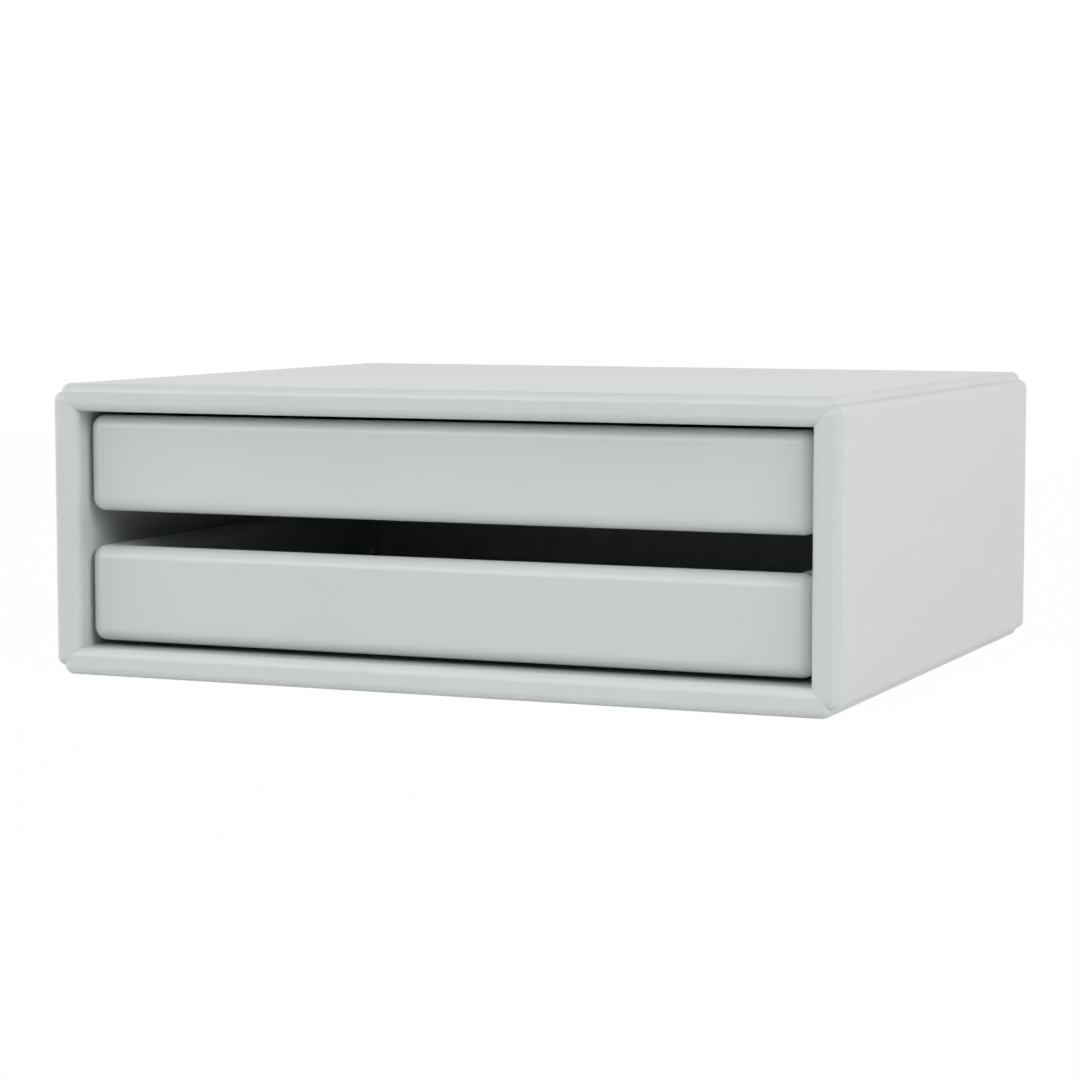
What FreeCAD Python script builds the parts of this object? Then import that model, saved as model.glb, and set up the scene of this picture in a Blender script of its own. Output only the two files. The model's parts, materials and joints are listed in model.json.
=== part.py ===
import FreeCAD, Part
import os
import re
import Sketcher

# Letter tray stack: a mitred lacquered cabinet with two open trays on grooved runners.
# Frame: origin at the bottom centre, X to the right, front towards -Y, Z up, millimetres.

document = FreeCAD.newDocument("LetterTrayStack")
sheet = document.addObject("Spreadsheet::Sheet", "Sizes")

sizes = {
    # cabinet
    "cabinetWidth": 354,
    "cabinetDepth": 300,
    "cabinetHeight": 126,
    "boardThickness": 12,
    "boardRounding": 4,            # radius of every outside edge of the four boards
    "boardInset": 3.6,             # how far a board's end stands in from its neighbour's face
    # loose tongues in the cabinet's mitres
    "tongueThickness": 3,
    "tongueWidth": 10,
    "tongueSetback": 3.8,          # from the inside corner to the middle of the tongue
    "tongueFit": 0.05,
    "tongueRearSpace": 6,          # from the tongue's end to the back panel
    # back panel
    "backThickness": 6,
    "backRecess": 8,
    "backGrooveDepth": 5,
    "backFit": 0.1,
    # trays
    "trayFrontRecess": 8,
    "trayRearSpace": 6,
    "traySideClearance": 1.2,
    "trayTopClearance": 1.7,
    "trayBottomClearance": 2.3,
    "fingerGap": 15,               # open height between the two trays
    "trayBoardThickness": 12,
    "trayRounding": 5.9,
    "trayBaseThickness": 4,
    "trayBaseLift": 6.2,           # underside of the base above the tray's lowest edge
    "trayBaseGrooveDepth": 4,
    "trayBaseFit": 0.1,
    # runners and the grooves that they slide in
    "grooveDepth": 6,
    "grooveEndPlay": 0.5,          # between the runner's face and the bottom of the groove
    "runnerHeight": 12,
    "runnerPlay": 0.6,             # under the runner in its groove
    "slideFit": 0.05,              # over the runner, where the tray hangs on it
    "runnerFrontSpace": 24,        # from the tray's front face to the runner
    "runnerRearSpace": 8,          # from the tray's rear face to the runner
    "closedGap": 0.3,
    "shoulderLength": 60,          # full-height front stretch of a runner, which stops the pins
    "runnerRelief": 4,             # height cut away under the rest of the runner
    # runner screws
    "screwDiameter": 3,
    "screwHeadDiameter": 5.6,
    "screwLength": 14,
    "screwEndSpace": 20,
    "screwTipSpace": 0.5,          # beyond the point, at the end of the hole
    "screwFit": 0.02,
    # stop pins
    "pinDiameter": 3,
    "pinHeadDiameter": 6,
    "pinHeadThickness": 1.5,
    "pinReach": 5,                 # how far a pin stands out into the groove
    "pinLift": 2.3,                # pin's middle above the groove's lower face
    "pinRearSpace": 6,             # from the rear board to the middle of the pin
    "pinFit": 0.02,
}

derived = {
    "trayWidth": "cabinetWidth - 2 * boardThickness - 2 * traySideClearance",
    "trayFront": "-cabinetDepth / 2 + trayFrontRecess",
    "trayRear": "cabinetDepth / 2 - backRecess - backThickness - trayRearSpace",
    "trayHeight": "(cabinetHeight - 2 * boardThickness - trayTopClearance"
                  " - trayBottomClearance - fingerGap) / 2",
    "lowerTrayBase": "boardThickness + trayBottomClearance",
    "upperTrayBase": "cabinetHeight - boardThickness - trayTopClearance - trayHeight",
    "grooveHeight": "runnerHeight + runnerPlay + slideFit",
    "grooveBottom": "(trayHeight - grooveHeight) / 2",
    "runnerFront": "trayFront + runnerFrontSpace",
    "runnerRear": "trayRear - runnerRearSpace",
    "runnerThickness": "traySideClearance + grooveDepth - grooveEndPlay",
    "pinPlace": "trayRear - trayBoardThickness - pinRearSpace",
    "edgeRounding": "min(boardRounding; boardThickness / 2 - 0.1)",
    "trayEdgeRounding": "min(trayRounding; trayBoardThickness / 2 - 0.1)",
    "backFront": "cabinetDepth / 2 - backRecess - backThickness",
    "backEdge": "boardThickness - backGrooveDepth + backFit",
    "tongueLength": "2 * (backFront - tongueRearSpace)",
    "trayDepth": "trayRear - trayFront",
    "trayMiddle": "(trayRear + trayFront) / 2",
    "trayBaseEdge": "trayBoardThickness - trayBaseGrooveDepth + trayBaseFit",
    "shoulderRear": "runnerFront + shoulderLength",
}


def fillSheet():
    """Write the driving sizes as plain numbers and the derived ones as formulas."""
    rows = [(alias, str(value)) for alias, value in sizes.items()]
    rows += [(alias, "=" + formula) for alias, formula in derived.items()]
    for row, (alias, content) in enumerate(rows, 1):
        sheet.set(f"A{row}", alias)
        sheet.set(f"B{row}", content)
        sheet.setAlias(f"B{row}", alias)
    document.recompute()


def cell(formula):
    """Turn the aliases in a formula into references to the sheet."""
    def refer(found):
        word = found[0]
        return "Sizes." + word if word in sizes or word in derived else word
    return re.sub("[A-Za-z]+", refer, formula)


def number(formula):
    """The present value of a formula."""
    return float(sheet.evalExpression(formula))


def bind(thing, path, formula):
    thing.setExpression(path, cell(formula))


def place(thing, x="0", y="0", z="0"):
    """Bind an object's place to the sheet."""
    for letter, formula in zip("xyz", (x, y, z)):
        bind(thing, f".Placement.Base.{letter}", formula)


def turn(thing, localY, localZ):
    """Turn an object so that its own y and z point along two of the model's directions."""
    yAxis = FreeCAD.Vector(*localY)
    zAxis = FreeCAD.Vector(*localZ)
    rotation = FreeCAD.Rotation(yAxis.cross(zAxis), yAxis, zAxis, "ZYX")
    thing.Placement = FreeCAD.Placement(FreeCAD.Vector(), rotation)


def newBody(label):
    body = document.addObject("PartDesign::Body", label)
    body.Label = label
    return body


def newPrimitive(kind, label):
    thing = document.addObject(f"Part::{kind}", label)
    thing.Label = label
    return thing


def newSketch(body, name, role, lift="0"):
    """A sketch on one of the body's own planes, moved along its normal by lift."""
    sketch = body.newObject("Sketcher::SketchObject", f"{body.Label}_{name}")
    plane = next(item for item in body.Origin.OriginFeatures if item.Role == role)
    sketch.AttachmentSupport = [(plane, "")]
    sketch.MapMode = "FlatFace"
    bind(sketch, ".AttachmentOffset.Base.z", lift)
    return sketch


def addTie(sketch, kind, items, formula):
    """A dimension of a sketch, bound to a formula."""
    index = sketch.addConstraint(Sketcher.Constraint(kind, *items, number(formula)))
    label = f"size{index}"
    sketch.renameConstraint(index, label)
    bind(sketch, f"Constraints.{label}", formula)


def addPolygon(sketch, corners):
    """A closed outline through corners, each a pair of formulas."""
    points = [FreeCAD.Vector(number(x), number(y), 0) for x, y in corners]
    first = sketch.GeometryCount
    count = len(corners)
    for index in range(count):
        sketch.addGeometry(Part.LineSegment(points[index], points[(index + 1) % count]))
    for index, (x, y) in enumerate(corners):
        follower = first + (index + 1) % count
        sketch.addConstraint(Sketcher.Constraint("Coincident", first + index, 2, follower, 1))
        addTie(sketch, "DistanceX", (-1, 1, first + index, 1), x)
        addTie(sketch, "DistanceY", (-1, 1, first + index, 1), y)


def addRectangle(sketch, left, right, low, high):
    addPolygon(sketch, [(left, low), (right, low), (right, high), (left, high)])


def addCircle(sketch, x, y, diameter):
    middle = FreeCAD.Vector(number(x), number(y), 0)
    circle = Part.Circle(middle, FreeCAD.Vector(0, 0, 1), number(diameter) / 2)
    index = sketch.addGeometry(circle)
    addTie(sketch, "DistanceX", (-1, 1, index, 3), x)
    addTie(sketch, "DistanceY", (-1, 1, index, 3), y)
    addTie(sketch, "Diameter", (index,), diameter)


def extrude(body, kind, name, sketch, length=None, symmetric=False, backward=False):
    """A Pad or Pocket of a sketch. No length means through everything."""
    feature = body.newObject(f"PartDesign::{kind}", f"{body.Label}_{name}")
    feature.Profile = sketch
    feature.SideType = "Symmetric" if symmetric else "One side"
    feature.Reversed = backward
    if length is None:
        feature.Type = "ThroughAll"
    else:
        bind(feature, "Length", length)
    document.recompute()
    return feature


def cutAway(body, name, sketch, length=None, symmetric=False, backward=False):
    """A Pocket that has to take material away."""
    before = body.Shape.Volume
    extrude(body, "Pocket", name, sketch, length, symmetric, backward)
    if body.Shape.Volume > before - 1e-3:
        raise RuntimeError(f"{body.Label}: {name} cuts nothing")


def mitredBoard(label, length, width, thickness, inset, rounding):
    """A board with every edge rounded and its two ends mitred towards its inner face.

    The board lies along local x, its outer face at z = 0 and its inner face at z = thickness.
    Length is the outside size of the frame that it belongs to, and both ends stand in from
    that size by the inset.
    """
    body = newBody(label)
    outline = newSketch(body, "outline", "XY_Plane")
    addRectangle(outline, f"-{length} / 2 + {inset}", f"{length} / 2 - {inset}",
                 f"-{width} / 2", f"{width} / 2")
    block = extrude(body, "Pad", "block", outline, thickness)
    rounded = body.newObject("PartDesign::Fillet", label + "_edges")
    rounded.Base = (block, [f"Edge{index + 1}" for index in range(len(block.Shape.Edges))])
    bind(rounded, "Radius", rounding)
    document.recompute()
    mitres = newSketch(body, "mitres", "XZ_Plane")
    for side in ("-", ""):
        addPolygon(mitres, [
            (f"{side}({length} / 2 + {thickness})", f"-{thickness}"),
            (f"{side}({length} / 2 + {thickness})", f"2 * {thickness}"),
            (f"{side}({length} / 2 - 2 * {thickness})", f"2 * {thickness}"),
        ])
    cutAway(body, "mitre_cut", mitres, symmetric=True)
    return body


def cutTongueSlots(body, length):
    """Slots for the loose tongues, square to the two mitre faces of a cabinet board."""
    across = "(tongueWidth / 2 + tongueFit) * sqrt(0.5)"
    along = "(tongueThickness / 2 + tongueFit) * sqrt(0.5)"
    corners = [("+", "+", "+", "-"), ("+", "-", "+", "+"), ("-", "-", "-", "+"), ("-", "+", "-", "-")]
    slots = newSketch(body, "slots", "XZ_Plane")
    for side in ("-", ""):
        addPolygon(slots, [
            (f"{side}({length} / 2 - boardThickness + tongueSetback {a} {across} {b} {along})",
             f"boardThickness - tongueSetback {c} {across} {d} {along}")
            for a, b, c, d in corners])
    cutAway(body, "slot_cut", slots, "tongueLength + 2 * tongueFit", symmetric=True)


def cabinetBoard(label, length, inward):
    """One of the four cabinet boards, with its tongue slots and its back panel groove."""
    body = mitredBoard(label, length, "cabinetDepth", "boardThickness", "boardInset",
                       "edgeRounding")
    cutTongueSlots(body, length)
    groove = newSketch(body, "groove", "XY_Plane", "boardThickness")
    addRectangle(groove, f"-{length} / 2", f"{length} / 2", "backFront - backFit",
                 "backFront + backThickness + backFit")
    cutAway(body, "groove_cut", groove, "backGrooveDepth")
    turn(body, (0, 1, 0), inward)
    return body


def runnerBottom(level):
    return f"({level}TrayBase + grooveBottom + runnerPlay)"


def screwHeight(level):
    """Screws sit halfway up the part of the runner that is left over its relief."""
    return f"({runnerBottom(level)} + (runnerRelief + runnerHeight) / 2)"


def screwPlaces():
    """The three screws along a runner, front to rear."""
    front = "(runnerFront + screwEndSpace)"
    rear = "(runnerRear - screwEndSpace)"
    return [front, f"(({front} + {rear}) / 2)", rear]


levels = ("lower", "upper")
sides = (("left", "-"), ("right", ""))


def buildCabinet():
    bottom = cabinetBoard("bottom_panel", "cabinetWidth", (0, 0, 1))
    place(bottom)
    top = cabinetBoard("top_panel", "cabinetWidth", (0, 0, -1))
    place(top, z="cabinetHeight")
    panels = [bottom, top]
    for side, sign in sides:
        inward = (1, 0, 0) if side == "left" else (-1, 0, 0)
        panel = cabinetBoard(side + "_side_panel", "cabinetHeight", inward)
        holes = newSketch(panel, "screw_holes", "XY_Plane", "boardThickness")
        for level in levels:
            for y in screwPlaces():
                addCircle(holes, f"{sign}({screwHeight(level)} - cabinetHeight / 2)", y,
                          "screwDiameter + 2 * screwFit")
        cutAway(panel, "screw_hole_cut", holes, "screwLength - runnerThickness + screwTipSpace")
        place(panel, x=f"{sign}cabinetWidth / 2", z="cabinetHeight / 2")
        panels.append(panel)
    return panels


def buildBack():
    back = newPrimitive("Box", "back_panel")
    bind(back, "Length", "cabinetWidth - 2 * backEdge")
    bind(back, "Width", "backThickness")
    bind(back, "Height", "cabinetHeight - 2 * backEdge")
    place(back, "-cabinetWidth / 2 + backEdge", "backFront", "backEdge")
    return back


def buildTongue(level, side, sign):
    """A loose tongue in one of the cabinet's mitres, turned square to the mitre."""
    tongue = newBody(f"{level}_{side}_tongue")
    outline = newSketch(tongue, "outline", "XZ_Plane")
    addRectangle(outline, "-tongueWidth / 2", "tongueWidth / 2",
                 "-tongueThickness / 2", "tongueThickness / 2")
    extrude(tongue, "Pad", "strip", outline, "tongueLength", symmetric=True)
    leansUp = (level == "lower") == (side == "right")
    turn(tongue, (0, 1, 0), (-1, 0, 1) if leansUp else (1, 0, 1))
    lift = "(boardThickness - tongueSetback)"
    place(tongue, x=f"{sign}(cabinetWidth / 2 - {lift})",
          z=lift if level == "lower" else f"cabinetHeight - {lift}")
    return tongue


def buildRunner(level, side, sign):
    """A strip with a full-height shoulder at its front and a relief under the rest."""
    runner = newBody(f"{level}_{side}_runner")
    outline = newSketch(runner, "outline", "YZ_Plane")
    addPolygon(outline, [
        ("runnerFront", "0"),
        ("shoulderRear", "0"),
        ("shoulderRear", "runnerRelief"),
        ("runnerRear", "runnerRelief"),
        ("runnerRear", "runnerHeight"),
        ("runnerFront", "runnerHeight"),
    ])
    onRight = side == "right"
    extrude(runner, "Pad", "strip", outline, "runnerThickness", backward=onRight)
    holes = newSketch(runner, "screw_holes", "YZ_Plane",
                      "-runnerThickness" if onRight else "runnerThickness")
    for y in screwPlaces():
        addCircle(holes, y, "(runnerRelief + runnerHeight) / 2", "screwDiameter + 2 * screwFit")
    sunk = runner.newObject("PartDesign::Hole", runner.Label + "_screw_sinks")
    sunk.Profile = holes
    document.recompute()
    sunk.Reversed = onRight
    sunk.DepthType = "ThroughAll"
    sunk.HoleCutType = "Countersink"
    sunk.HoleCutCountersinkAngle = 90
    bind(sunk, "Diameter", "screwDiameter + 2 * screwFit")
    bind(sunk, "HoleCutDiameter", "screwHeadDiameter + 2 * screwFit")
    document.recompute()
    place(runner, x=f"{sign}(cabinetWidth / 2 - boardThickness)", z=runnerBottom(level))
    return runner


def aimed(thing, direction):
    thing.Placement = FreeCAD.Placement(
        FreeCAD.Vector(), FreeCAD.Rotation(FreeCAD.Vector(0, 0, 1), FreeCAD.Vector(*direction)))


def buildScrew(name, sign, y, z):
    """A countersunk screw whose head lies flush with the runner's face."""
    outward = (-1, 0, 0) if sign else (1, 0, 0)
    face = f"{sign}(cabinetWidth / 2 - boardThickness - runnerThickness)"
    head = newPrimitive("Cone", name + "_head")
    bind(head, "Radius1", "screwHeadDiameter / 2")
    bind(head, "Radius2", "screwDiameter / 2")
    bind(head, "Height", "(screwHeadDiameter - screwDiameter) / 2")
    shank = newPrimitive("Cylinder", name + "_shank")
    bind(shank, "Radius", "screwDiameter / 2")
    bind(shank, "Height", "screwLength")
    for piece in (head, shank):
        aimed(piece, outward)
        place(piece, face, y, z)
    screw = newPrimitive("Fuse", name)
    screw.Base = head
    screw.Tool = shank
    return screw


def buildScrews():
    screws = []
    for level in levels:
        for side, sign in sides:
            for index, y in enumerate(screwPlaces(), 1):
                name = f"{level}_{side}_screw_{index}"
                screws.append(buildScrew(name, sign, y, screwHeight(level)))
    group = newPrimitive("Compound", "runner_screws")
    group.Links = screws
    return group


def trayBoard(level, name, length, inward):
    """A tray board, standing, with the base's groove along its inner face."""
    body = mitredBoard(f"{level}_tray_{name}", length, "trayHeight", "trayBoardThickness", "0",
                       "trayEdgeRounding")
    groove = newSketch(body, "base_groove", "XY_Plane", "trayBoardThickness")
    addRectangle(groove, f"-{length} / 2", f"{length} / 2",
                 "trayBaseLift - trayBaseFit - trayHeight / 2",
                 "trayBaseLift + trayBaseThickness + trayBaseFit - trayHeight / 2")
    cutAway(body, "base_groove_cut", groove, "trayBaseGrooveDepth")
    turn(body, (0, 0, 1), inward)
    return body


def cutRunnerGroove(body, name, left, right, depth):
    """The part of a runner groove that crosses one board, cut from its outer face."""
    groove = newSketch(body, name, "XY_Plane")
    addRectangle(groove, left, right, "grooveBottom - trayHeight / 2",
                 "grooveBottom + grooveHeight - trayHeight / 2")
    cutAway(body, name + "_cut", groove, depth, backward=True)


def buildTray(level):
    """The pieces of one tray, at their place in the cabinet."""
    base = level + "TrayBase"
    middle = f"{base} + trayHeight / 2"
    front = trayBoard(level, "front", "trayWidth", (0, 1, 0))
    place(front, y="trayFront", z=middle)
    rear = trayBoard(level, "rear", "trayWidth", (0, -1, 0))
    for side, sign in sides:
        cutRunnerGroove(rear, side + "_runner_groove", f"{sign}trayWidth / 2",
                        f"{sign}(trayWidth / 2 - grooveDepth)", "trayBoardThickness")
    place(rear, y="trayRear", z=middle)
    pieces = [front, rear]
    for side, sign in sides:
        inward = (1, 0, 0) if side == "left" else (-1, 0, 0)
        flip = "" if side == "left" else "-"
        board = trayBoard(level, side + "_side", "trayDepth", inward)
        cutRunnerGroove(board, "runner_groove", f"{flip}(runnerFront - closedGap - trayMiddle)",
                        f"{flip}trayDepth / 2", "grooveDepth")
        hole = newSketch(board, "pin_hole", "XY_Plane", "trayBoardThickness")
        addCircle(hole, f"{flip}(pinPlace - trayMiddle)", "grooveBottom + pinLift - trayHeight / 2",
                  "pinDiameter + 2 * pinFit")
        cutAway(board, "pin_hole_cut", hole)
        place(board, f"{sign}trayWidth / 2", "trayMiddle", middle)
        pieces.append(board)
    floor = newPrimitive("Box", f"{level}_tray_base")
    bind(floor, "Length", "trayWidth - 2 * trayBaseEdge")
    bind(floor, "Width", "trayDepth - 2 * trayBaseEdge")
    bind(floor, "Height", "trayBaseThickness")
    place(floor, "-trayWidth / 2 + trayBaseEdge", "trayFront + trayBaseEdge",
          f"{base} + trayBaseLift")
    pieces.append(floor)
    pieces.append(buildPins(level, f"{base} + grooveBottom + pinLift"))
    return pieces


def buildPins(level, height):
    """Two headed pins, pushed through the tray's sides from inside into the grooves."""
    pins = []
    for side, sign in sides:
        outward = (-1, 0, 0) if side == "left" else (1, 0, 0)
        name = f"{level}_{side}_pin"
        shank = newPrimitive("Cylinder", name + "_shank")
        bind(shank, "Radius", "pinDiameter / 2")
        bind(shank, "Height", "trayBoardThickness - grooveDepth + pinReach")
        aimed(shank, outward)
        place(shank, f"{sign}(trayWidth / 2 - trayBoardThickness)", "pinPlace", height)
        head = newPrimitive("Cylinder", name + "_head")
        bind(head, "Radius", "pinHeadDiameter / 2")
        bind(head, "Height", "pinHeadThickness")
        aimed(head, outward)
        place(head, f"{sign}(trayWidth / 2 - trayBoardThickness - pinHeadThickness)",
              "pinPlace", height)
        pin = newPrimitive("Fuse", name)
        pin.Base = shank
        pin.Tool = head
        pins.append(pin)
    group = newPrimitive("Compound", f"{level}_tray_stop_pins")
    group.Links = pins
    return group


def writeParts(pieces):
    """Check every object of the document, then write each sub-part to its own file."""
    document.recompute()
    for thing in document.Objects:
        if "Invalid" in thing.State or "Error" in thing.State:
            raise RuntimeError(f"{thing.Name} failed: {thing.State}")
    for piece in pieces:
        if piece.Shape.isNull() or not piece.Shape.isValid():
            raise RuntimeError(f"{piece.Label} has no valid shape")
    os.makedirs("parts", exist_ok=True)
    for piece in pieces:
        piece.Shape.exportStep(f"parts/{piece.Label}.step")
        box = piece.Shape.BoundBox
        print(f"{piece.Label}: {len(piece.Shape.Solids)} solid(s), "
              f"{box.XLength:.1f} x {box.YLength:.1f} x {box.ZLength:.1f}")


fillSheet()
pieces = buildCabinet()
pieces.append(buildBack())
for level in levels:
    for side, sign in sides:
        pieces.append(buildTongue(level, side, sign))
        pieces.append(buildRunner(level, side, sign))
pieces.append(buildScrews())
for level in levels:
    pieces += buildTray(level)
writeParts(pieces)
print("tray travel", number("pinPlace - pinDiameter / 2 - shoulderRear"))
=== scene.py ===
# Letter tray stack: a mitred, lacquered cabinet and two open trays that slide on plastic runners.
# Metres, front towards -Y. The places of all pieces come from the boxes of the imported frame.

import bpy
import bmesh
import json
from math import radians
from mathutils import Euler, Matrix, Vector

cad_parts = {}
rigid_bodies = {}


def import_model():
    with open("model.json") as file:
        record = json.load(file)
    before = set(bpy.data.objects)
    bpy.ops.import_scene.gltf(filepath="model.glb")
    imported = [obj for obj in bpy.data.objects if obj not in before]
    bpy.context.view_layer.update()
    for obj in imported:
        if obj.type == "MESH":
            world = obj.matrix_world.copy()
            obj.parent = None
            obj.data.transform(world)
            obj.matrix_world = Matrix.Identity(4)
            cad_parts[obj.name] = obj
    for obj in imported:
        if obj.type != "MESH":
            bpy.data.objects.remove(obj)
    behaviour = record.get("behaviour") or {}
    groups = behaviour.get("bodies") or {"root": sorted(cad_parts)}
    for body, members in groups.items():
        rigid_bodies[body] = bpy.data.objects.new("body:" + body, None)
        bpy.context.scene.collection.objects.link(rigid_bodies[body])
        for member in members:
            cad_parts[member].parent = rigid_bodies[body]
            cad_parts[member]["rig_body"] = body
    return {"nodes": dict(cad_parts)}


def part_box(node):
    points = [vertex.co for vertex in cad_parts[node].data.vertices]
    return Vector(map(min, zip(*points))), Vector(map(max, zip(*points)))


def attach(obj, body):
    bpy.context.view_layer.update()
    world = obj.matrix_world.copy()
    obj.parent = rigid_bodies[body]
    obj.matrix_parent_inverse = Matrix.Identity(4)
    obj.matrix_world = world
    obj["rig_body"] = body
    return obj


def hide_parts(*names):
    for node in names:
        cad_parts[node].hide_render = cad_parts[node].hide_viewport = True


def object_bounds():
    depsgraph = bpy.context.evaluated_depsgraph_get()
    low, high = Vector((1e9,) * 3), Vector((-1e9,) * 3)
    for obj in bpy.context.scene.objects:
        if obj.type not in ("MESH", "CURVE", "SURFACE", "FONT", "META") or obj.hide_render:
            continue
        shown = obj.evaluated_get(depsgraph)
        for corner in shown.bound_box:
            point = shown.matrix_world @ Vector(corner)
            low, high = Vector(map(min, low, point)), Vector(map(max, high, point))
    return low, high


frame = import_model()
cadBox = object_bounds()
nodes = frame["nodes"]
scene = bpy.context.scene
scene.view_settings.view_transform = "Standard"
axisX, axisY, axisZ = Vector((1, 0, 0)), Vector((0, 1, 0)), Vector((0, 0, 1))
print("frame:", len(nodes), "nodes")


cameraView = {
    "yaw": 22.871,           # degrees to the right of straight in front
    "pitch": 5.196,          # degrees above level
    "distance": 1.3714,      # from the middle of the cabinet
    "slideRight": -0.01105,  # the camera's own sideways and upward shift
    "slideUp": -0.01099,
    "lens": 100.517,         # millimetres, on a square 36 mm frame
    "sensor": 36,
}


def lookingIn(azimuth, elevation):
    # turns local -Z from that side towards the middle, azimuth 0 is the front
    return Euler((radians(90 - elevation), 0, radians(azimuth))).to_matrix()


def addCamera():
    turn = lookingIn(cameraView["yaw"], cameraView["pitch"])
    middle = (cadBox[0] + cadBox[1]) / 2
    own = Vector((cameraView["slideRight"], cameraView["slideUp"], cameraView["distance"]))
    lens = bpy.data.cameras.new("camera")
    lens.lens = cameraView["lens"]
    lens.sensor_width = cameraView["sensor"]
    camera = bpy.data.objects.new("camera", lens)
    camera.matrix_world = Matrix.Translation(middle + turn @ own) @ turn.to_4x4()
    scene.collection.objects.link(camera)
    scene.camera = camera


softboxes = {
    # azimuth and elevation in degrees, size in metres, power in watts; inGloss says if it is mirrored
    "leftSoftbox": {"azimuth": -24, "elevation": 23, "size": (1.7, 0.95), "power": 16, "inGloss": True,
                    "colour": (1, 1, 1)},
    "frontFill": {"azimuth": 34, "elevation": 27, "size": (1.6, 1.3), "power": 10.5, "inGloss": False,
                  "colour": (1, 1, 1)},
    "rightKey": {"azimuth": 65, "elevation": 29, "size": (1.3, 1.3), "power": 32.5, "inGloss": False,
                 "colour": (1, 0.982, 0.975)},
    "rightFill": {"azimuth": 105, "elevation": 12, "size": (1.3, 1.4), "power": 5, "inGloss": False,
                  "colour": (1, 0.982, 0.975)},
    "leftFill": {"azimuth": -75, "elevation": 16, "size": (1.6, 1.6), "power": 34, "inGloss": False,
                 "colour": (1, 1, 1)},
    "topFill": {"azimuth": 0, "elevation": 78, "size": (1.4, 1.4), "power": 15.8, "inGloss": False,
                "colour": (1, 1, 1)},
    "rearFill": {"azimuth": 172, "elevation": 6, "size": (2.0, 1.0), "power": 42, "inGloss": False,
                 "colour": (1, 1, 1)},
}
softboxDistance = 2.6  # from the middle of the cabinet


def addSoftbox(name, box):
    turn = lookingIn(box["azimuth"], box["elevation"])
    middle = (cadBox[0] + cadBox[1]) / 2
    lamp = bpy.data.lights.new(name, "AREA")
    lamp.shape = "RECTANGLE"
    lamp.size, lamp.size_y = box["size"]
    lamp.energy = box["power"]
    lamp.color = box["colour"]
    holder = bpy.data.objects.new(name, lamp)
    holder.matrix_world = Matrix.Translation(middle + turn @ (axisZ * softboxDistance)) @ turn.to_4x4()
    holder.visible_glossy = box["inGloss"]
    scene.collection.objects.link(holder)


studio = {
    "ambient": 0.005,      # what the room adds to the softboxes
    "floorSize": 3.0,
    "floorColour": 0.9,
    "floorWhite": 0.985,   # how far the camera's view of the floor is lifted to plain white
}


def backgroundRays(tree):
    # 1 for what the camera sees straight, in gloss or through glass
    path = tree.nodes.new("ShaderNodeLightPath")
    seen = path.outputs["Is Camera Ray"]
    for kind in ("Is Glossy Ray", "Is Transmission Ray"):
        either = tree.nodes.new("ShaderNodeMath")
        either.operation = "MAXIMUM"
        tree.links.new(seen, either.inputs[0])
        tree.links.new(path.outputs[kind], either.inputs[1])
        seen = either.outputs[0]
    return seen


def addWorld():
    world = bpy.data.worlds.new("studio")
    world.use_nodes = True
    tree = world.node_tree
    room = tree.nodes["Background"]
    room.inputs["Color"].default_value = (1, 1, 1, 1)
    room.inputs["Strength"].default_value = studio["ambient"]
    white = tree.nodes.new("ShaderNodeBackground")
    white.inputs["Color"].default_value = (1, 1, 1, 1)
    white.inputs["Strength"].default_value = 1
    mix = tree.nodes.new("ShaderNodeMixShader")
    tree.links.new(backgroundRays(tree), mix.inputs[0])
    tree.links.new(room.outputs[0], mix.inputs[1])
    tree.links.new(white.outputs[0], mix.inputs[2])
    tree.links.new(mix.outputs[0], tree.nodes["World Output"].inputs["Surface"])
    scene.world = world


def addFloor():
    mesh = bmesh.new()
    bmesh.ops.create_grid(mesh, x_segments=1, y_segments=1, size=studio["floorSize"] / 2)
    data = bpy.data.meshes.new("floor")
    mesh.to_mesh(data)
    mesh.free()
    floor = bpy.data.objects.new("floor", data)
    scene.collection.objects.link(floor)
    material = bpy.data.materials.new("studio floor")
    material.use_nodes = True
    tree = material.node_tree
    tree.nodes.clear()
    paper = tree.nodes.new("ShaderNodeBsdfDiffuse")
    paper.inputs["Color"].default_value = (studio["floorColour"],) * 3 + (1,)
    white = tree.nodes.new("ShaderNodeEmission")
    white.inputs["Strength"].default_value = 1
    lift = tree.nodes.new("ShaderNodeMath")
    lift.operation = "MULTIPLY"
    lift.inputs[1].default_value = studio["floorWhite"]
    tree.links.new(backgroundRays(tree), lift.inputs[0])
    mix = tree.nodes.new("ShaderNodeMixShader")
    tree.links.new(lift.outputs[0], mix.inputs[0])
    tree.links.new(paper.outputs[0], mix.inputs[1])
    tree.links.new(white.outputs[0], mix.inputs[2])
    output = tree.nodes.new("ShaderNodeOutputMaterial")
    tree.links.new(mix.outputs[0], output.inputs["Surface"])
    data.materials.append(material)


addCamera()
for name, box in softboxes.items():
    addSoftbox(name, box)
addWorld()
addFloor()
print("studio:", len(softboxes), "softboxes")


def newGroup(name, inputs, outputs):
    # inputs are label, kind and first value, outputs label and kind
    group = bpy.data.node_groups.new(name, "ShaderNodeTree")
    for label, kind, value in inputs:
        made = group.interface.new_socket(label, in_out="INPUT", socket_type="NodeSocket" + kind)
        if value is not None:
            made.default_value = value
    for label, kind in outputs:
        group.interface.new_socket(label, in_out="OUTPUT", socket_type="NodeSocket" + kind)
    return group, group.nodes.new("NodeGroupInput"), group.nodes.new("NodeGroupOutput")


def addMath(tree, operation, first, second):
    # each side is a socket or a plain number
    node = tree.nodes.new("ShaderNodeMath")
    node.operation = operation
    for socket, value in zip(node.inputs, (first, second)):
        if isinstance(value, (int, float)):
            socket.default_value = value
        else:
            tree.links.new(value, socket)
    return node.outputs[0]


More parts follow.
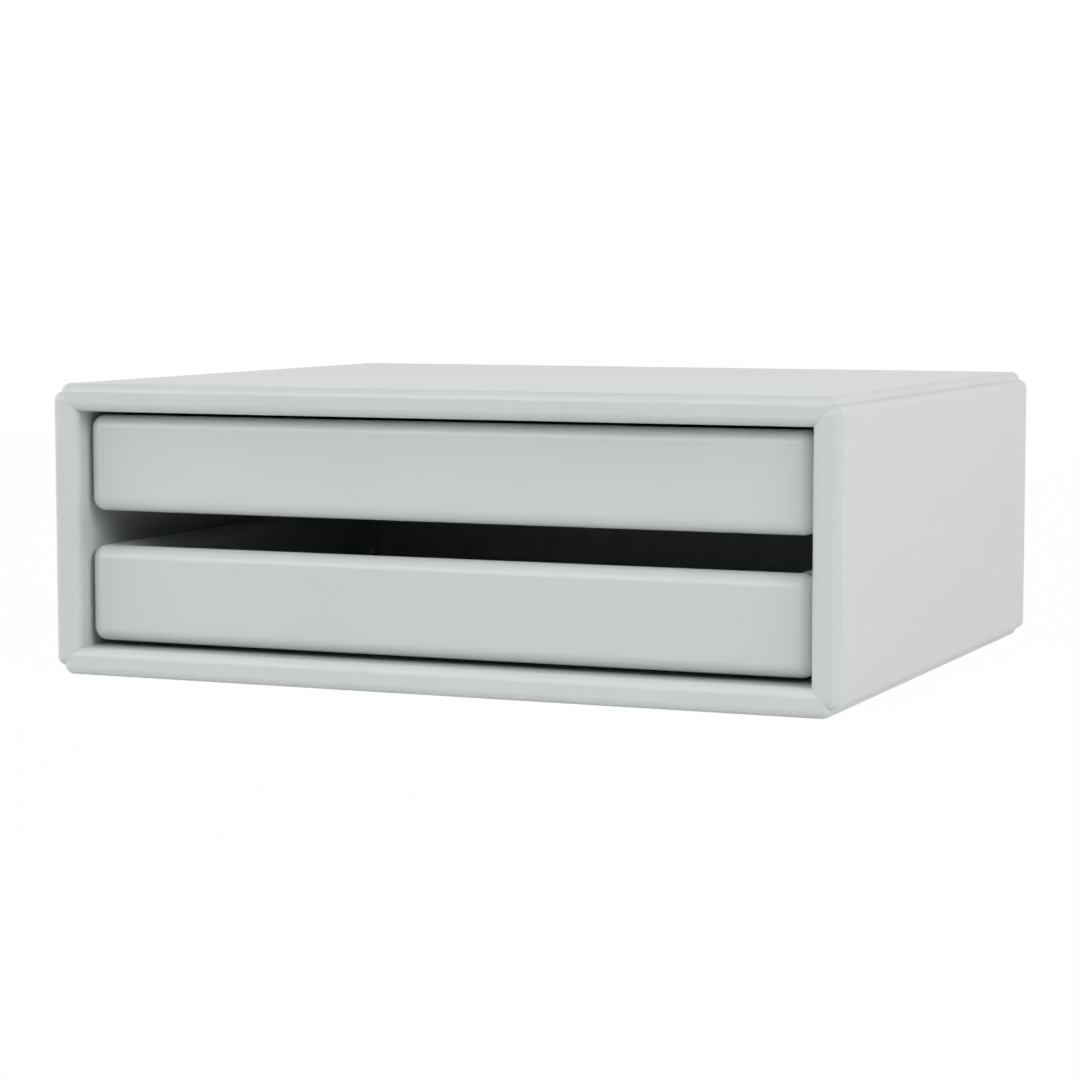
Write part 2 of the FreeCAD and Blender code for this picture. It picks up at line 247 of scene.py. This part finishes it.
def addRange(tree, value, fromLow, fromHigh, toLow, toHigh):
    node = tree.nodes.new("ShaderNodeMapRange")
    tree.links.new(value, node.inputs["Value"])
    for label, number in (("From Min", fromLow), ("From Max", fromHigh),
                          ("To Min", toLow), ("To Max", toHigh)):
        node.inputs[label].default_value = number
    return node.outputs["Result"]


def addNoise(tree, position, size, detail):
    # size is the width of one blotch in metres, a socket or a plain number
    node = tree.nodes.new("ShaderNodeTexNoise")
    node.inputs["Detail"].default_value = detail
    tree.links.new(position, node.inputs["Vector"])
    if isinstance(size, (int, float)):
        node.inputs["Scale"].default_value = 1 / size
    else:
        tree.links.new(addMath(tree, "DIVIDE", 1, size), node.inputs["Scale"])
    return node.outputs["Fac"]


noiseSpan = (0.3, 0.7)  # where nearly all of a noise lies


sprayedCoat = {
    "peelSize": 0.0015,
    "driftSize": 0.08,
    "peelDetail": 1.5,
    "driftDetail": 3,
    "nibSpacing": 0.03,      # between the dust nibs caught in the lacquer
    "nibRadius": 0.008,      # as a share of the spacing
    "nibHeight": 1.2,        # times the height of the peel
}


def makeSprayGroup():
    # sprayed lacquer: the fine peel of the coat, its drift over a board, and a few dust nibs
    tree, given, result = newGroup(
        "sprayed coat",
        [("Position", "Vector", None), ("Peel Size", "Float", sprayedCoat["peelSize"]),
         ("Drift Size", "Float", sprayedCoat["driftSize"]),
         ("Nib Spacing", "Float", sprayedCoat["nibSpacing"])],
        [("Height", "Float"), ("Drift", "Float")])
    position = given.outputs["Position"]
    peel = addNoise(tree, position, given.outputs["Peel Size"], sprayedCoat["peelDetail"])
    drift = addNoise(tree, position, given.outputs["Drift Size"], sprayedCoat["driftDetail"])
    nibs = tree.nodes.new("ShaderNodeTexVoronoi")
    tree.links.new(position, nibs.inputs["Vector"])
    tree.links.new(addMath(tree, "DIVIDE", 1, given.outputs["Nib Spacing"]), nibs.inputs["Scale"])
    nib = addRange(tree, nibs.outputs["Distance"], 0, sprayedCoat["nibRadius"], sprayedCoat["nibHeight"], 0)
    tree.links.new(addMath(tree, "ADD", peel, nib), result.inputs["Height"])
    tree.links.new(addRange(tree, drift, *noiseSpan, 0, 1), result.inputs["Drift"])
    return tree


handledEdge = {
    "patchSize": 0.025,
    "patchDetail": 2,
    "patchSpan": (0.35, 0.65),
    "least": 0.35,           # what is left of the mask between the patches
    "polish": -0.02,         # what a handled rounding adds to the roughness
}


def makeHandledGroup():
    # where hands and sanding have worked on the roundings: the edge mask broken up by soft patches
    tree, given, result = newGroup(
        "handled edges",
        [("Position", "Vector", None), ("Edge", "Float", 0),
         ("Patch Size", "Float", handledEdge["patchSize"])],
        [("Handled", "Float")])
    patches = addNoise(tree, given.outputs["Position"], given.outputs["Patch Size"],
                       handledEdge["patchDetail"])
    patches = addRange(tree, patches, *handledEdge["patchSpan"], handledEdge["least"], 1)
    tree.links.new(addMath(tree, "MULTIPLY", given.outputs["Edge"], patches), result.inputs["Handled"])
    return tree


sprayGroup = makeSprayGroup()
handledGroup = makeHandledGroup()


def startMaterial(name):
    material = bpy.data.materials.new(name)
    material.use_nodes = True
    tree = material.node_tree
    place = tree.nodes.new("ShaderNodeTexCoord")
    return material, tree, tree.nodes["Principled BSDF"], place.outputs["Object"]


def addGroup(tree, group, position, values):
    node = tree.nodes.new("ShaderNodeGroup")
    node.node_tree = group
    tree.links.new(position, node.inputs["Position"])
    for label, value in values.items():
        node.inputs[label].default_value = value
    return node


def addTone(tree, shader, mask, low, high):
    # base colour between two near tones
    mix = tree.nodes.new("ShaderNodeMix")
    mix.data_type = "RGBA"
    tree.links.new(mask, mix.inputs["Factor"])
    mix.inputs[6].default_value = (*low, 1)  # the colour sockets A and B
    mix.inputs[7].default_value = (*high, 1)
    tree.links.new(mix.outputs[2], shader.inputs["Base Color"])


def addBump(tree, shader, height, depth):
    bump = tree.nodes.new("ShaderNodeBump")
    bump.inputs["Strength"].default_value = 1
    bump.inputs["Distance"].default_value = depth
    tree.links.new(height, bump.inputs["Height"])
    tree.links.new(bump.outputs["Normal"], shader.inputs["Normal"])


lacquers = {
    "cabinet lacquer": {"low": (0.558, 0.588, 0.584), "high": (0.572, 0.602, 0.598),
                        "roughness": (0.31, 0.34), "peelSize": 0.0016, "peelDepth": 0.000004},
    "tray lacquer": {"low": (0.558, 0.588, 0.584), "high": (0.572, 0.602, 0.598),
                     "roughness": (0.31, 0.34), "peelSize": 0.0014, "peelDepth": 0.000004},
    "back lacquer": {"low": (0.54, 0.57, 0.562), "high": (0.562, 0.592, 0.585),
                     "roughness": (0.42, 0.5), "peelSize": 0.0009, "peelDepth": 0.000009},
    "tray base lacquer": {"low": (0.545, 0.575, 0.568), "high": (0.565, 0.595, 0.588),
                          "roughness": (0.4, 0.47), "peelSize": 0.001, "peelDepth": 0.000008},
}

lacquerIor = 1.5  # of the lacquer's surface, for all four


def makeLacquer(name, values):
    material, tree, shader, position = startMaterial(name)
    coat = addGroup(tree, sprayGroup, position, {"Peel Size": values["peelSize"]})
    edge = tree.nodes.new("ShaderNodeAttribute")
    edge.attribute_name = "rounding"
    handled = addGroup(tree, handledGroup, position, {"Patch Size": handledEdge["patchSize"]})
    tree.links.new(edge.outputs["Fac"], handled.inputs["Edge"])
    addTone(tree, shader, coat.outputs["Drift"], values["low"], values["high"])
    plain = addRange(tree, coat.outputs["Drift"], 0, 1, *values["roughness"])
    polished = addRange(tree, handled.outputs["Handled"], 0, 1, 0, handledEdge["polish"])
    tree.links.new(addMath(tree, "ADD", plain, polished), shader.inputs["Roughness"])
    shader.inputs["IOR"].default_value = lacquerIor
    addBump(tree, shader, coat.outputs["Height"], values["peelDepth"])
    return material


runnerPlastic = {
    "low": (0.53, 0.55, 0.545),
    "high": (0.57, 0.59, 0.585),
    "flowSize": 0.033,
    "flowDetail": 2,
    "grainSize": 0.0004,
    "grainDetail": 3,
    "grainDepth": 0.000015,
    "roughness": (0.45, 0.6),
    "milkiness": 0.05,
}


def makePlastic():
    material, tree, shader, position = startMaterial("runner plastic")
    grain = addNoise(tree, position, runnerPlastic["grainSize"], runnerPlastic["grainDetail"])
    flow = addNoise(tree, position, runnerPlastic["flowSize"], runnerPlastic["flowDetail"])
    addTone(tree, shader, flow, runnerPlastic["low"], runnerPlastic["high"])
    roughness = addRange(tree, grain, *noiseSpan, *runnerPlastic["roughness"])
    tree.links.new(roughness, shader.inputs["Roughness"])
    shader.inputs["Subsurface Weight"].default_value = runnerPlastic["milkiness"]
    addBump(tree, shader, grain, runnerPlastic["grainDepth"])
    return material


zincSteel = {
    "low": (0.52, 0.53, 0.56),
    "high": (0.64, 0.64, 0.62),
    "spangle": 0.0012,
    "spangleDetail": 3,
    "spangleDepth": 0.000004,
    "roughness": (0.28, 0.4),
}


def makeZinc():
    material, tree, shader, position = startMaterial("zinc steel")
    spangle = addNoise(tree, position, zincSteel["spangle"], zincSteel["spangleDetail"])
    addTone(tree, shader, spangle, zincSteel["low"], zincSteel["high"])
    roughness = addRange(tree, spangle, *noiseSpan, *zincSteel["roughness"])
    tree.links.new(roughness, shader.inputs["Roughness"])
    shader.inputs["Metallic"].default_value = 1
    addBump(tree, shader, spangle, zincSteel["spangleDepth"])
    return material


rawBoard = {
    "low": (0.36, 0.23, 0.12),
    "high": (0.5, 0.36, 0.21),
    "fibre": (900, 220, 900),  # fibres to the metre, fewest along the strip
    "fibreDetail": 4,
    "fibreDepth": 0.00004,
    "roughness": (0.75, 0.95),
}


def makeRawBoard():
    material, tree, shader, position = startMaterial("raw board")
    stretch = tree.nodes.new("ShaderNodeMapping")
    stretch.inputs["Scale"].default_value = rawBoard["fibre"]
    tree.links.new(position, stretch.inputs["Vector"])
    fibre = addNoise(tree, stretch.outputs["Vector"], 1, rawBoard["fibreDetail"])
    addTone(tree, shader, addRange(tree, fibre, *noiseSpan, 0, 1), rawBoard["low"], rawBoard["high"])
    tree.links.new(addRange(tree, fibre, 0, 1, *rawBoard["roughness"]), shader.inputs["Roughness"])
    addBump(tree, shader, fibre, rawBoard["fibreDepth"])
    return material


finishes = {name: makeLacquer(name, values) for name, values in lacquers.items()}
finishes["runner plastic"] = makePlastic()
finishes["zinc steel"] = makeZinc()
finishes["raw board"] = makeRawBoard()
print("finishes:", ", ".join(finishes))


def asPiece(name, mesh, finish, replaced):
    # a bmesh becomes a piece that stands for one CAD node, hangs on that node's body and gets the given
    # finish
    data = bpy.data.meshes.new(name)
    mesh.to_mesh(data)
    mesh.free()
    data.materials.append(finishes[finish])
    piece = bpy.data.objects.new(name, data)
    scene.collection.objects.link(piece)
    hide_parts(replaced)
    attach(piece, nodes[replaced]["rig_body"])
    return piece


def addBlock(mesh, low, high, turn=Matrix()):
    # a plain block between two corners, turned about its own middle
    place = Matrix.Translation((low + high) / 2) @ turn @ Matrix.Diagonal((*(high - low), 1))
    bmesh.ops.create_cube(mesh, size=1, matrix=place)


joinWithin = 4e-5  # points nearer than this are one point


def carve(piece, tools):
    # takes the closed shapes in a bmesh away from a piece
    data = bpy.data.meshes.new("tools")
    tools.to_mesh(data)
    tools.free()
    cutter = bpy.data.objects.new("tools", data)
    scene.collection.objects.link(cutter)
    cut = piece.modifiers.new("carve", "BOOLEAN")
    cut.operation = "DIFFERENCE"
    cut.solver = "EXACT"
    cut.use_self = True
    cut.object = cutter
    bpy.context.view_layer.update()
    carved = bpy.data.meshes.new_from_object(piece.evaluated_get(bpy.context.evaluated_depsgraph_get()))
    piece.modifiers.remove(cut)
    piece.data = carved
    bpy.data.objects.remove(cutter)
    clean = bmesh.new()  # the cut can leave slivers where its faces meet an edge
    clean.from_mesh(carved)
    bmesh.ops.remove_doubles(clean, verts=clean.verts, dist=joinWithin)
    bmesh.ops.dissolve_degenerate(clean, edges=clean.edges, dist=joinWithin)
    clean.to_mesh(carved)
    clean.free()


easeSteps = 2
sharpAngle = 40  # degrees, an edge at a smaller angle is left as it is


def easeEdges(piece, width):
    # sharp edges are broken a little, and the large faces keep their own normals
    ease = piece.modifiers.new("eased edges", "BEVEL")
    ease.width = width
    ease.segments = easeSteps
    ease.limit_method = "ANGLE"
    ease.angle_limit = radians(sharpAngle)
    ease.use_clamp_overlap = False
    piece.data.shade_smooth()
    flat = piece.modifiers.new("flat faces", "WEIGHTED_NORMAL")
    flat.keep_sharp = True


squareWithin = 0.0001   # how much a flat's normal may fall short of its axis
leastFlat = 0.001       # an edge shorter than this belongs to a rounding
roundProfile = 0.5      # a quarter of a circle


def markRoundings(mesh):
    # 1 inside a rounding and 0 along the flats, for the finish
    layer = mesh.verts.layers.float.new("rounding")
    for vert in mesh.verts:
        vert[layer] = 1
    for face in mesh.faces:
        square = max(abs(part) for part in face.normal) > 1 - squareWithin
        if square and min(edge.calc_length() for edge in face.edges) > leastFlat:
            for vert in face.verts:
                vert[layer] = 0


def mitredBoard(low, high, outside, along, inward, setBack, rounding, steps):
    # a board with every edge rounded, cut at both ends at 45 degrees towards its inner face;
    # before the cut it runs to the outside of the frame that it is part of, less setBack
    for i in range(3):
        if along[i]:
            low[i] = outside[0][i] + setBack
            high[i] = outside[1][i] - setBack
    mesh = bmesh.new()
    addBlock(mesh, low, high)
    bmesh.ops.bevel(mesh, geom=mesh.edges[:], affect="EDGES", offset=rounding, segments=steps,
                    profile=roundProfile, material=-1)
    markRoundings(mesh)
    thickness = abs((high - low).dot(inward))
    middle = (outside[0] + outside[1]) / 2
    half = (outside[1] - outside[0]) / 2
    for end in (-1, 1):
        corner = middle + along * end * (half.dot(along) - thickness)
        corner -= inward * (abs(half.dot(inward)) - thickness)
        everything = mesh.verts[:] + mesh.edges[:] + mesh.faces[:]
        cut = bmesh.ops.bisect_plane(mesh, geom=everything, plane_co=corner,
                                     plane_no=along * end + inward, clear_outer=True)
        rim = [item for item in cut["geom_cut"] if isinstance(item, bmesh.types.BMEdge)]
        bmesh.ops.edgeloop_fill(mesh, edges=rim)
    bmesh.ops.recalc_face_normals(mesh, faces=mesh.faces)
    return mesh


def outerBox(names):
    boxes = [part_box(name) for name in names]
    low = Vector(min(box[0][i] for box in boxes) for i in range(3))
    high = Vector(max(box[1][i] for box in boxes) for i in range(3))
    return low, high


cabinetMake = {
    "rounding": 0.004,
    "setBack": 0.0036,       # of each board's ends from the outside, which leaves a step at each corner
    "steps": 10,             # faces across a rounding
    "joint": 0.00008,        # how far the lacquer draws back from each mitre
    "grooveFit": 0.0001,     # around the back panel
    "tongueWidth": 0.01,
    "tongueThickness": 0.003,
    "tongueFit": 0.0001,
}


def buildCabinet():
    boards = {
        "top_panel": (axisX, -axisZ),
        "bottom_panel": (axisX, axisZ),
        "left_side_panel": (axisZ, axisX),
        "right_side_panel": (axisZ, -axisX),
    }
    outside = outerBox(boards)
    backLow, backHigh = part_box("back_panel")
    fit = Vector((cabinetMake["grooveFit"],) * 3)
    for node, (along, inward) in boards.items():
        low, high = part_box(node)
        mesh = mitredBoard(low, high, outside, along, inward, cabinetMake["setBack"],
                           cabinetMake["rounding"], cabinetMake["steps"])
        piece = asPiece(node.replace("_panel", "_board"), mesh, "cabinet lacquer", node)
        tools = bmesh.new()
        addBlock(tools, backLow - fit, backHigh + fit)
        for level in ("lower", "upper"):
            for side in ("left", "right"):
                addTongueSlot(tools, level, side)
        carve(piece, tools)
        easeEdges(piece, cabinetMake["joint"])


def addTongueSlot(tools, level, side):
    tongueLow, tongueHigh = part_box(f"{level}_{side}_tongue")
    middle = (tongueLow + tongueHigh) / 2
    slot = Vector((cabinetMake["tongueWidth"], tongueHigh.y - tongueLow.y, cabinetMake["tongueThickness"]))
    half = (slot + Vector((cabinetMake["tongueFit"],) * 3)) / 2
    lean = -45 if (level == "lower") == (side == "right") else 45
    addBlock(tools, middle - half, middle + half, Matrix.Rotation(radians(lean), 4, "Y"))


trayMake = {
    "rounding": 0.0059,
    "setBack": 0,
    "steps": 12,             # faces across a rounding
    "joint": 0.00012,
    "baseFit": 0.0001,
    "runnerFit": 0.00005,    # over the runner, where the tray hangs on it
    "runnerPlay": 0.0006,    # under the runner
    "runnerFront": 0.0003,
    "runnerDepth": 0.0005,   # beyond the runner's open face
    "overshoot": 0.01,       # how far a cutting block runs out of the board
}


def buildTray(level):
    boards = {
        "front": (axisX, axisY),
        "rear": (axisX, -axisY),
        "left_side": (axisY, axisX),
        "right_side": (axisY, -axisX),
    }
    names = {part: f"{level}_tray_{part}" for part in boards}
    outside = outerBox(names.values())
    for part, (along, inward) in boards.items():
        low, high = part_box(names[part])
        mesh = mitredBoard(low, high, outside, along, inward, trayMake["setBack"],
                           trayMake["rounding"], trayMake["steps"])
        piece = asPiece(names[part] + "_board", mesh, "tray lacquer", names[part])
        tools = bmesh.new()
        baseLow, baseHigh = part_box(f"{level}_tray_base")
        fit = Vector((trayMake["baseFit"],) * 3)
        addBlock(tools, baseLow - fit, baseHigh + fit)
        if part != "front":
            for side, sign in (("left", -1), ("right", 1)):
                addRunnerGroove(tools, level, side, sign, outside)
        carve(piece, tools)
        easeEdges(piece, trayMake["joint"])


def addRunnerGroove(tools, level, side, sign, outside):
    # open at the rear, so that the tray pulls off its runner towards the front
    low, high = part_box(f"{level}_{side}_runner")
    inner = low.x if sign > 0 else high.x
    beyond = trayMake["overshoot"]
    xs = sorted((inner - sign * trayMake["runnerDepth"], sign * (outside[1].x + beyond)))
    low = Vector((xs[0], low.y - trayMake["runnerFront"], low.z - trayMake["runnerPlay"]))
    high = Vector((xs[1], outside[1].y + beyond, high.z + trayMake["runnerFit"]))
    addBlock(tools, low, high)


runnerMake = {
    "shoulder": 0.06,
    "relief": 0.004,
    "ease": 0.0004,
    "sink": 0.00285,         # radius of the countersinks at the runner's face, and their depth
    "sinkSteps": 32,
}


def buildRunner(level, side):
    # an L seen from the side: a full-height shoulder in front and a relief under the rest
    node = f"{level}_{side}_runner"
    low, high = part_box(node)
    shoulder = low.y + runnerMake["shoulder"]
    relief = low.z + runnerMake["relief"]
    outline = [(low.y, low.z), (shoulder, low.z), (shoulder, relief), (high.y, relief),
               (high.y, high.z), (low.y, high.z)]
    mesh = bmesh.new()
    face = mesh.faces.new([mesh.verts.new((low.x, y, z)) for y, z in outline])
    made = bmesh.ops.extrude_face_region(mesh, geom=[face])
    moved = [item for item in made["geom"] if isinstance(item, bmesh.types.BMVert)]
    bmesh.ops.translate(mesh, verts=moved, vec=(high.x - low.x, 0, 0))
    bmesh.ops.recalc_face_normals(mesh, faces=mesh.faces)
    piece = asPiece(node.replace("_runner", "_slide_rail"), mesh, "runner plastic", node)
    tools = bmesh.new()
    for place in screwPlaces(level, side):
        addCountersink(tools, place, axisX if side == "left" else -axisX)
    carve(piece, tools)
    easeEdges(piece, runnerMake["ease"])


def addCountersink(mesh, place, outwards):
    # a cone that stands as far out of the face as it goes in
    turn = axisZ.rotation_difference(outwards).to_matrix().to_4x4()
    size = 2 * runnerMake["sink"]
    bmesh.ops.create_cone(mesh, cap_ends=True, segments=runnerMake["sinkSteps"], radius1=0, radius2=size,
                          depth=size, matrix=Matrix.Translation(place) @ turn)


def turnedPart(mesh, profile, place, direction, steps):
    # spins a half profile, given as radius and depth, about an axis that starts at place
    spot = Matrix.Translation(place) @ axisZ.rotation_difference(direction).to_matrix().to_4x4()
    verts = [mesh.verts.new(spot @ Vector((radius, 0, depth))) for radius, depth in profile]
    edges = [mesh.edges.new(pair) for pair in zip(verts, verts[1:])]
    bmesh.ops.spin(mesh, geom=verts + edges, cent=place, axis=direction, angle=radians(360),
                   steps=steps, use_merge=True)
    return spot


def closeUp(mesh):
    bmesh.ops.remove_doubles(mesh, verts=mesh.verts, dist=joinWithin)
    bmesh.ops.recalc_face_normals(mesh, faces=mesh.faces)


screwMake = {
    "head": 0.0056,
    "shank": 0.003,
    "length": 0.014,
    "point": 0.004,
    "endSpace": 0.02,        # from the runner's ends to the outer screws
    "rim": 0.0001,           # the broken edge of the head
    "crossDepth": 0.0016,    # of the drive in the head, which two crossed wedges cut
    "wedgeWide": 0.0032,     # from the middle to a corner of a wedge, the wide way at its outer end
    "wedgeThin": 0.0007,     # and the thin way
    "wedgeTip": 0.00055,     # the wide way at its inner end
    "steps": 28,             # around the screw
    "ease": 0.00006,
}


def screwPlaces(level, side):
    # middles of the three heads, on the runner's open face
    low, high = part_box(f"{level}_{side}_runner")
    front, rear = low.y + screwMake["endSpace"], high.y - screwMake["endSpace"]
    height = (low.z + runnerMake["relief"] + high.z) / 2
    face = high.x if side == "left" else low.x
    return [Vector((face, y, height)) for y in (front, (front + rear) / 2, rear)]


def addScrew(mesh, tools, place, direction):
    head, shank = screwMake["head"] / 2, screwMake["shank"] / 2
    length, rim = screwMake["length"], screwMake["rim"]
    profile = [(0, 0), (head - rim, 0), (head, rim), (shank, head - shank),
               (shank, length - screwMake["point"]), (0, length)]
    spot = turnedPart(mesh, profile, place, direction, screwMake["steps"])
    for lean in (0, 90):
        # a flat four-sided cone, which stands as far out of the face as it goes in
        made = bmesh.ops.create_cone(tools, cap_ends=True, segments=4, depth=2 * screwMake["crossDepth"],
                                     radius1=screwMake["wedgeWide"], radius2=screwMake["wedgeTip"])
        bmesh.ops.rotate(tools, verts=made["verts"], matrix=Matrix.Rotation(radians(45), 3, "Z"))
        thin = screwMake["wedgeThin"] / screwMake["wedgeWide"]
        bmesh.ops.scale(tools, verts=made["verts"], vec=(1, thin, 1))
        bmesh.ops.transform(tools, verts=made["verts"],
                            matrix=spot @ Matrix.Rotation(radians(lean), 4, "Z"))


def buildScrews():
    mesh = bmesh.new()
    tools = bmesh.new()
    for level in ("lower", "upper"):
        for side, direction in (("left", -axisX), ("right", axisX)):
            for place in screwPlaces(level, side):
                addScrew(mesh, tools, place, direction)
    closeUp(mesh)
    piece = asPiece("rail_screws", mesh, "zinc steel", "runner_screws")
    carve(piece, tools)
    easeEdges(piece, screwMake["ease"])


pinMake = {
    "head": 0.006,
    "headThickness": 0.0015,
    "pin": 0.003,
    "crown": 0.0003,         # rounding of the head and of the pin's end
    "crownDrop": 0.6,        # share of the crown that the head has dropped halfway round its edge
    "steps": 32,             # around the pin
    "ease": 0.00006,
}


def buildPins(level):
    # headed pins, pushed through the sides from inside the tray
    node = f"{level}_tray_stop_pins"
    low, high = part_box(node)
    middle = (low + high) / 2
    head, pin = pinMake["head"] / 2, pinMake["pin"] / 2
    thick, crown = pinMake["headThickness"], pinMake["crown"]
    mesh = bmesh.new()
    for side, direction, end in (("left", -axisX, low.x), ("right", axisX, high.x)):
        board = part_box(f"{level}_tray_{side}_side")
        inner = board[1].x if side == "left" else board[0].x
        start = Vector((inner, middle.y, middle.z)) - direction * thick
        length = abs(end - start.x)
        drop = crown * pinMake["crownDrop"]
        profile = [(0, 0), (head - 3 * crown, 0), (head - crown, drop), (head, 2 * crown),
                   (head, thick), (pin, thick), (pin, length - crown), (pin - crown, length), (0, length)]
        turnedPart(mesh, profile, start, direction, pinMake["steps"])
    closeUp(mesh)
    piece = asPiece(node.replace("_stop_pins", "_stops"), mesh, "zinc steel", node)
    easeEdges(piece, pinMake["ease"])


buildCabinet()
print("cabinet boards made")
for level in ("lower", "upper"):
    buildTray(level)
    buildPins(level)
    for side in ("left", "right"):
        buildRunner(level, side)
buildScrews()
print("trays, runners, screws and pins made")


# the plain sheets and strips stay as they are and only get their finish
keptNodes = {"back_panel": "back lacquer"}
for level in ("lower", "upper"):
    keptNodes[f"{level}_tray_base"] = "tray base lacquer"
    for side in ("left", "right"):
        keptNodes[f"{level}_{side}_tongue"] = "raw board"
for node, finish in keptNodes.items():
    for slot in nodes[node].material_slots:
        slot.material = finishes[finish]
print("kept nodes:", len(keptNodes))
